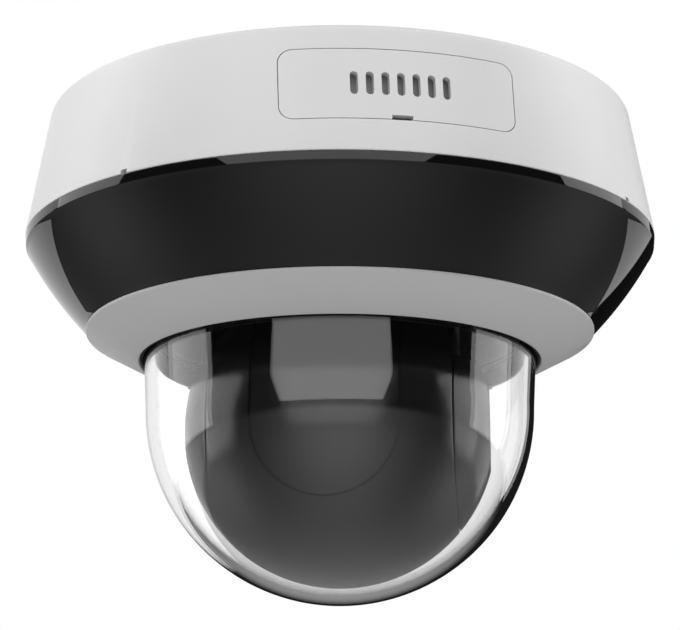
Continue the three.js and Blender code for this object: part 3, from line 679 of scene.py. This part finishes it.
piece("mounting_plate", ceiling_plate(), zinc_steel, "zinc_steel", "base", "ceiling_plate")
piece("housing_shell", housing_shell(), white_shell, "white_shell", "base", "base_housing")
door = piece("service_door", service_door(), white_shell, "white_shell", "door", "access_door")
door.modifiers.new("even shading round the slots", "WEIGHTED_NORMAL").keep_sharp = True
piece("vent_baffle", vent_baffle(), baffle_grey, "white_shell", "door")
piece("lead_grommet", grommet(), black_rubber, "black_rubber", "base", "cable_grommet")

# ---------------------------------------------------------------- infrared window, ring and dome


def window_band():
    """An upright lip, a bulging cone that leans in, and a spigot inside the housing."""
    outer = [(65.1, -26.98, 0.1), (64.95, -28.75, 0.25)]
    outer += bend((64.7, -29.0), (59.8, -37.6), (52.45, -45.1), 24)
    inner = [(52.2, -45.45, 0.1), (50.4, -45.45, 0.2)]
    inner += bend((50.4, -44.2), (57.9, -35.9), (62, -28.9), 16)
    spigot = [(59.7, -28.2, 0.3), (59.7, -23, 0.2), (61.5, -23, 0.3), (61.5, -26.98, 0)]
    return turned(rounded(outer + inner + spigot), FINE)


def lower_ring():
    """The ring round the dome: a short upright lip, a flat cone and a turned-in bore."""
    return turned(rounded([
        (49.9, -45.55, 0.1), (RING_RADIUS - 0.05, -45.55, 0.12), (RING_RADIUS, -46.15, 0.15),
        (RING_BORE + 0.35, RING_FOOT, 0.3), (RING_BORE, RING_FOOT + 0.35, 0.3),
        (RING_BORE, -49, 0), (45, -49, 0.2), (45, -46.9, 0.2), (48.6, -46.9, 0.2),
    ]), FINE)


def gasket():
    """A rubber lip between the ring and the dome, with its flange under the dome's."""
    return turned(rounded([
        (40.6, -51.7, 0.2), (41.0, -51.7, 0.2), (41.0, -48.8, 0), (44.7, -48.7, 0.2),
        (44.7, -48.1, 0.2), (40.75, -48.1, 0.1),
    ]), FINE)


def bubble():
    """The clear dome: half a sphere, a slightly flared skirt and a flange."""
    inner = DOME_RADIUS - DOME_WALL
    path = arc(DOME_CENTRE, DOME_RADIUS, -90, 0, 64)
    path += [
        (SKIRT_RADIUS, -47.8, 0.2), (44.6, -47.8, 0.2), (44.6, -46.3, 0.3),
        (SKIRT_RADIUS - DOME_WALL, -46.3, 0.3),
    ]
    path += arc(DOME_CENTRE, inner, 0, -90, 64)
    path[0] = (0, DOME_CENTRE - DOME_RADIUS, 0)
    path[-1] = (0, DOME_CENTRE - inner, 0)
    return turned(rounded(path, closed=False), FINE, closed=False)


def clamp_ring():
    """The metal ring that presses the dome's flange down on its gasket."""
    return turned(rounded([(40.5, -46), (48.3, -46), (48.3, -44.6), (40.5, -44.6)], 0.25), ROUND)


def liner():
    """The grey wall inside the ring, with a shelf and the posts that carry the lower cover."""
    inner, outer = LINER_RADIUS, LINER_RADIUS + 1.4
    cup = turned(rounded([
        (inner, -46, 0.3), (outer, -46, 0.3), (outer, -41.6, 0.2),
        (49.2, -41.6, 0.2), (49.2, -40.2, 0.2), (inner, -40.2, 0.2),
    ]), ROUND)
    posts = []
    for azimuth in (45, 135, 225, 315):
        post = turned(rounded([(0, -40.7), (2.2, -40.7), (2.2, -16.3), (0, -16.3)], closed=False),
                      24, closed=False)
        posts.append(shifted(post, *at_azimuth(46.5, azimuth)))
    return joined(cup, *posts)


piece("infrared_band", window_band(), ir_window, "ir_window", "base", "ir_window")
piece("lower_trim", lower_ring(), grey_trim, "grey_trim", "base", "trim_ring")
piece("dome_gasket", gasket(), black_rubber, "black_rubber", "base", "dome_seal")
bubble_piece = piece("clear_bubble", bubble(), clear_dome, "clear_dome", "base", "dome_bubble")
bubble_piece.visible_shadow = False
piece("bubble_clamp", clamp_ring(), aluminium, "aluminium", "base", "dome_clamp_ring")
piece("liner_cup", liner(), liner_grey, "liner_grey", "base", "inner_liner")

# ---------------------------------------------------------------- turret


def in_turret(body):
    return spun(body, LENS_HEADING)


def in_ball(body):
    """From the ball's own centre to its place in the turret."""
    return in_turret(shifted(body, z=BALL_CENTRE))


def yoke():
    """The turret plate, its hollow hub and lug, and two arms that end in round bosses."""
    plate = turned(rounded([
        (3.5, -23.2, 0.1), (37.5, -23.2, 0.4), (37.5, -21.2, 0.4), (8, -21.2, 0.3), (8, -16, 0.1),
        (5.9, -16, 0.1), (5.9, -10, 0.3), (3.5, -10, 0.2),
    ]), ROUND)
    lug = spun(softened(block((-1.5, 1.5), (-40.5, -34), (-23.2, -21.2)), 0.2), 240)
    parts = [lug]
    for side in (-1, 1):
        strap = block((ARM_INNER, ARM_OUTER), (-ARM_HALF_WIDTH, ARM_HALF_WIDTH), (0, -22.7 - BALL_CENTRE))
        if side < 0:
            strap = spun(strap, 180)
        disc = sideways(rod(11.5, ARM_INNER, ARM_OUTER, sides=72), side)
        hole = sideways(rod(4.9, ARM_INNER - 1, ARM_OUTER + 1), side)
        arm = softened(cut(joined(strap, disc), hole), 0.35, 50, 3)
        parts.append(shifted(arm, z=BALL_CENTRE))
    return joined(plate, *parts)


def shroud():
    """A black cup under the turret plate, with one opening for the ball and its arms."""
    radius, wall = SHROUD_RADIUS, 1.4
    cup = turned(rounded([
        (0, -42.6, 0), (radius, -42.6, 0.8), (radius, -23.5, 0.2), (radius - wall, -23.5, 0.2),
        (radius - wall, -41, 0.6), (0, -41, 0),
    ], closed=False), ROUND, closed=False)
    opening = joined(
        rod(22.3, -50, -30, sides=96),
        prism(rounded_rectangle(56, 15.6, 1.5), -50, -30),
    )
    return softened(cut(cup, opening), 0.25, 60)


def sphere_zone(radius, low, high, sides, edge=0.3):
    """The zone of a sphere between two distances along Z, with its flat ends' edges rounded."""
    first, last = [asin(z / radius) * 180 / pi for z in (low, high)]
    path = [(0, low, 0), (sqrt(radius**2 - low**2), low, edge)]
    path += arc(0, radius, first + 1.2, last - 1.2, 36)
    path += [(sqrt(radius**2 - high**2), high, edge), (0, high, 0)]
    return turned(rounded(path, closed=False), sides, closed=False)


def side_cap(side):
    """A dish from the ball's side, open inwards and along its top edge for the arm."""
    dish = sphere_zone(BALL_RADIUS, CAP_INNER, CAP_OUTER, 96, 0.5)
    hollow = sphere_zone(BALL_RADIUS - 1.6, CAP_INNER - 1, CAP_OUTER - 1.5, 96)
    above = block((20, 35), (-30, 30), (11.7, 30))
    half_way = ARM_HALF_WIDTH + 0.4
    strap_way = block((20, ARM_OUTER + 0.3), (-half_way, half_way), (0, 30))
    cap = cut(sideways(dish, 1), sideways(hollow, 1), above, strap_way)
    cap = softened(cap, 0.3, 50, 3)
    if side < 0:
        cap = spun(cap, 180)
    return cap


piece("yoke_frame", in_turret(yoke()), black_plastic, "black_plastic", "turret", "turret_yoke")
piece("shroud_cup", in_turret(shroud()), black_plastic, "black_plastic", "turret", "turret_shroud")
piece("left_cap", in_ball(side_cap(-1)), black_gloss, "black_gloss", "turret", "left_side_cap")
piece("right_cap", in_ball(side_cap(1)), black_gloss, "black_gloss", "turret", "right_side_cap")

# ---------------------------------------------------------------- camera ball


def ball_shell():
    """The hollow middle slice of the ball, with a round pocket in each flat side."""
    shell = sideways(sphere_zone(BALL_RADIUS, -BALL_HALF_WIDTH, BALL_HALF_WIDTH, 160, 0.5), 1)
    inside = sideways(sphere_zone(BALL_RADIUS - 2, 2 - BALL_HALF_WIDTH, BALL_HALF_WIDTH - 2, 64), 1)
    bosses = [sideways(rod(BALL_POCKET + 1.5, 19.5, 30), side) for side in (-1, 1)]
    tools = [cut(inside, *bosses)]
    for side in (-1, 1):
        tools.append(sideways(rod(BALL_POCKET, 21, 30, sides=96), side))
        tools.append(sideways(rod(3.4, 15, 30), side))
    tools.append(shifted(sideways(rod(1.5, 15, 30), -1), y=-TILT_CENTRES))
    return cut(shell, *tools)


def seam_outline(half_width, low, high, steps=32):
    """A U of two upright lines and a round foot, in X and Z."""
    outline = [(half_width, high)]
    outline += [
        (half_width * cos(radians(angle)), low + half_width * sin(radians(angle)))
        for angle in [-180 * step / steps for step in range(steps + 1)]
    ]
    outline.append((-half_width, high))
    return outline


def rear_seam():
    """The cutter for the U-shaped moulding line in the ball's rear."""
    band = cut(
        through_y(seam_outline(SEAM_HALF_WIDTH + SEAM_WIDTH / 2, SEAM_FOOT, 26), -40, -10),
        through_y(seam_outline(SEAM_HALF_WIDTH - SEAM_WIDTH / 2, SEAM_FOOT, 27), -41, -9),
    )
    shell = cut(
        sphere_zone(BALL_RADIUS + 4, -35, 35, 96),
        sphere_zone(BALL_RADIUS - SEAM_DEPTH, 0.4 - BALL_RADIUS, BALL_RADIUS - 0.4, 160, 0),
    )
    return common(band, shell)


def ball_half(side):
    near, far = (0.15, 40) if side > 0 else (-40, -0.15)
    half = common(ball_shell(), block((-40, 40), (near, far), (-40, 40)))
    if side > 0:
        return softened(cut(half, forwards(rod(BEZEL_RADIUS + 0.3, 0, 40, sides=96))), 0.12, 50)
    return half


def bezel():
    """The ring round the lens window, with a stepped inner lip."""
    return forwards(turned(rounded([
        (9.9, 24.6), (13.5, 24.6), (13.5, 28.3, 0.9), (12.8, 29.2, 0.4), (11.7, 29.2, 0.3),
        (11.4, 28.6, 0.1), (11.2, 28.6, 0.1), (11.2, 25.6), (9.9, 25.6),
    ], 0.15), ROUND))


def barrel():
    """The lens tube, with fine light-trap grooves near its mouth."""
    path = [(11.1, -12, 0.2), (12.3, -12, 0.3), (12.3, 24, 0.3), (11.1, 24, 0.1)]
    for step in range(5):
        z = 23.5 - step * 1.1
        path += [(11.1, z, 0.1), (11.5, z - 0.3, 0.1), (11.1, z - 0.6, 0.1)]
    return forwards(turned(rounded(path), 96))


def window_disc():
    return forwards(turned(rounded([(0, 25.9, 0), (10.9, 25.9, 0.3), (10.9, 27.3, 0.3), (0, 27.3, 0)],
                                   closed=False), 96, closed=False))


def front_element():
    path = [(0, 17, 0), (10.8, 17, 0.2), (10.8, 20, 0.3)]
    path += bend((10.2, 20.3), (6, 22.9), (0, 23))
    path[-1] = (0, 23, 0)
    return forwards(turned(rounded(path, closed=False), 96, closed=False))


def lens_retainer():
    """A threaded ring in front of the first lens, with a coin slot pattern."""
    ring = turned(rounded([(9.3, 20.75), (11.0, 20.75), (11.0, 21.9), (9.9, 21.9)], 0.12), 96)
    slots = [spun(block((-0.5, 0.5), (-12, -9), (21.5, 23)), azimuth) for azimuth in (0, 90, 180, 270)]
    return forwards(cut(ring, *slots))


rear = cut(ball_half(-1), rear_seam())
piece("ball_front", in_ball(ball_half(1)), black_gloss, "black_gloss", "eyeball", "ball_front_shell")
piece("ball_rear", in_ball(rear), black_gloss, "black_gloss", "eyeball", "ball_rear_shell")
piece("bezel_ring", in_ball(bezel()), black_gloss, "black_gloss", "eyeball", "lens_bezel")
piece("lens_tube", in_ball(barrel()), black_plastic, "black_plastic", "eyeball", "lens_barrel")
piece("lens_retainer", in_ball(lens_retainer()), black_plastic, "black_plastic", "eyeball")
window_piece = piece("window_glass", in_ball(window_disc()), clear_window, "clear_window", "eyeball",
                     "lens_window")
window_piece.visible_shadow = False
piece("front_element", in_ball(front_element()), lens_glass, "lens_glass", "eyeball", "front_lens")

# ---------------------------------------------------------------- finishes of the CAD pieces

OWN_FINISH = {"zoom_group": inner_glass, "focus_group": inner_glass, "ir_cut_filter": sensor_glass}
slot_of_node = {entry["node"]: entry["material_slot"] for entry in frame["record"]["subparts"]}
for name, node in frame["nodes"].items():
    finish = OWN_FINISH.get(name, FINISHES[slot_of_node[name]])
    for slot in node.material_slots:
        slot.link = "OBJECT"
        slot.material = finish

# ---------------------------------------------------------------- floor, light and camera


def direction(azimuth, elevation):
    """A unit vector from the object, with the azimuth counted from the camera's own."""
    level = cos(radians(elevation))
    heading = radians(azimuth + CAMERA_AZIMUTH)
    return Vector((sin(heading) * level, -cos(heading) * level, sin(radians(elevation))))


def make_floor():
    body = bmesh.new()
    bmesh.ops.create_circle(body, cap_ends=True, radius=4.0, segments=96)
    floor = as_object(body, "floor")
    floor.location.z = -0.45
    nodes = Nodes("pale_floor")
    nodes.link(nodes.between(nodes.noise(60, 4), 0.5, 0.6), nodes.shader.inputs["Roughness"])
    nodes.set(Base_Color=(0.3, 0.3, 0.3, 1), Emission_Color=(1, 1, 1, 1), Emission_Strength=0.7)
    floor.data.materials.append(nodes.material)
    floor.visible_glossy = False
    floor.visible_diffuse = False
    floor.visible_transmission = False


def softbox(name, azimuth, elevation, half_width, half_height, radiance, seen_in="all"):
    """A rectangular lamp facing the object. Its half sides are angles in degrees."""
    light = bpy.data.lights.new(name, "AREA")
    light.shape = "RECTANGLE"
    # Two lamps in one plane would hide each other, so those for matt surfaces stand closer.
    distance = MATTE_LAMP_DISTANCE if seen_in == "matte" else LAMP_DISTANCE
    light.size = 2 * distance * tan(radians(half_width))
    light.size_y = 2 * distance * tan(radians(half_height))
    light.energy = radiance * 4 * light.size * light.size_y
    lamp = bpy.data.objects.new(name, light)
    towards = direction(azimuth, elevation)
    lamp.location = towards * distance + Vector((0, 0, CAMERA_HEIGHT))
    lamp.rotation_euler = towards.to_track_quat("Z", "Y").to_euler()
    lamp.visible_camera = False
    lamp.visible_diffuse = seen_in != "gloss"
    lamp.visible_glossy = seen_in != "matte"
    lamp.visible_transmission = seen_in != "matte"
    bpy.context.scene.collection.objects.link(lamp)


LAMP_DISTANCE = 1.2
MATTE_LAMP_DISTANCE = 1.1

SOFTBOXES = [
    # name, azimuth, elevation, half width, half height, radiance, seen in
    ("front_sheen", -5, 35, 37, 41, 1.25, "gloss"),
    ("front_fill", -5, 35, 37, 42, 0.58, "matte"),
    ("right_key", 100, 20, 17, 29, 1.65),
    ("right_tail", 133, 20, 15, 29, 0.7),
    ("left_key", -99, 20, 18, 29, 1.5),
    ("left_tail", -144, 20, 26, 29, 0.7),
    ("right_upper", 75, 60, 34, 24, 0.7),
    ("left_upper", -75, 60, 34, 24, 0.75),
]

# The floor's least brightness in reflections, and how much brighter matt surfaces see it.
FLOOR_GLOW = 0.05
FLOOR_ON_MATTE = 2.0

GLOWS = [
    # azimuth, elevation, strength, sharpness
    (0, -20, 0.6, 4),
    (100, -25, 0.4, 14),
    (-100, -25, 0.4, 14),
    (180, -35, 0.22, 4),
    (0, -90, 0.35, 3),
]


def make_world():
    """White straight behind the object. Other rays meet a dark room with a softly lit floor."""
    world = bpy.data.worlds.new("studio")
    bpy.context.scene.world = world
    world.use_nodes = True
    tree = world.node_tree
    background = tree.nodes["Background"]

    def math(operation, first, second):
        node = tree.nodes.new("ShaderNodeMath")
        node.operation = operation
        for socket, value in zip(node.inputs, (first, second)):
            if isinstance(value, bpy.types.NodeSocket):
                tree.links.new(value, socket)
            else:
                socket.default_value = value
        return node.outputs["Value"]

    ray = tree.nodes.new("ShaderNodeTexCoord").outputs["Generated"]
    total = FLOOR_GLOW
    for azimuth, elevation, strength, sharpness in GLOWS:
        dot = tree.nodes.new("ShaderNodeVectorMath")
        dot.operation = "DOT_PRODUCT"
        tree.links.new(ray, dot.inputs[0])
        dot.inputs[1].default_value = direction(azimuth, elevation)
        facing = math("MAXIMUM", dot.outputs["Value"], 0)
        total = math("ADD", total, math("MULTIPLY", math("POWER", facing, sharpness), strength))
    split = tree.nodes.new("ShaderNodeSeparateXYZ")
    tree.links.new(ray, split.inputs["Vector"])
    floor_mask = tree.nodes.new("ShaderNodeMapRange")
    floor_mask.inputs["From Min"].default_value = -0.12
    floor_mask.inputs["From Max"].default_value = -0.18
    tree.links.new(split.outputs["Z"], floor_mask.inputs["Value"])
    path = tree.nodes.new("ShaderNodeLightPath")
    lift = math("ADD", math("MULTIPLY", path.outputs["Is Diffuse Ray"], FLOOR_ON_MATTE - 1), 1)
    glow = math("MULTIPLY", math("MULTIPLY", total, lift), floor_mask.outputs["Result"])
    room = math("ADD", glow, 0.01)
    bent = math("SUBTRACT", path.outputs["Ray Depth"], path.outputs["Transmission Depth"])
    through = math("MULTIPLY", path.outputs["Is Transmission Ray"], math("LESS_THAN", bent, 1.5))
    straight = math("MAXIMUM", path.outputs["Is Camera Ray"], through)
    shade = tree.nodes.new("ShaderNodeMix")
    shade.data_type = "FLOAT"
    tree.links.new(straight, shade.inputs["Factor"])
    tree.links.new(room, shade.inputs["A"])
    shade.inputs["B"].default_value = 1.0
    tree.links.new(shade.outputs["Result"], background.inputs["Color"])


def make_camera():
    data = bpy.data.cameras.new("camera")
    data.lens = LENS_MM
    camera = bpy.data.objects.new("camera", data)
    back = direction(0, CAMERA_ELEVATION)
    camera.location = back * CAMERA_DISTANCE + Vector((0, 0, CAMERA_HEIGHT))
    camera.rotation_euler = back.to_track_quat("Z", "Y").to_euler()
    bpy.context.scene.collection.objects.link(camera)
    bpy.context.scene.camera = camera


make_floor()
for settings in SOFTBOXES:
    softbox(*settings)
make_world()
make_camera()

scene = bpy.context.scene
scene.view_settings.view_transform = "Standard"
scene.cycles.use_denoising = True
scene.cycles.max_bounces = 16
scene.cycles.transmission_bounces = 12
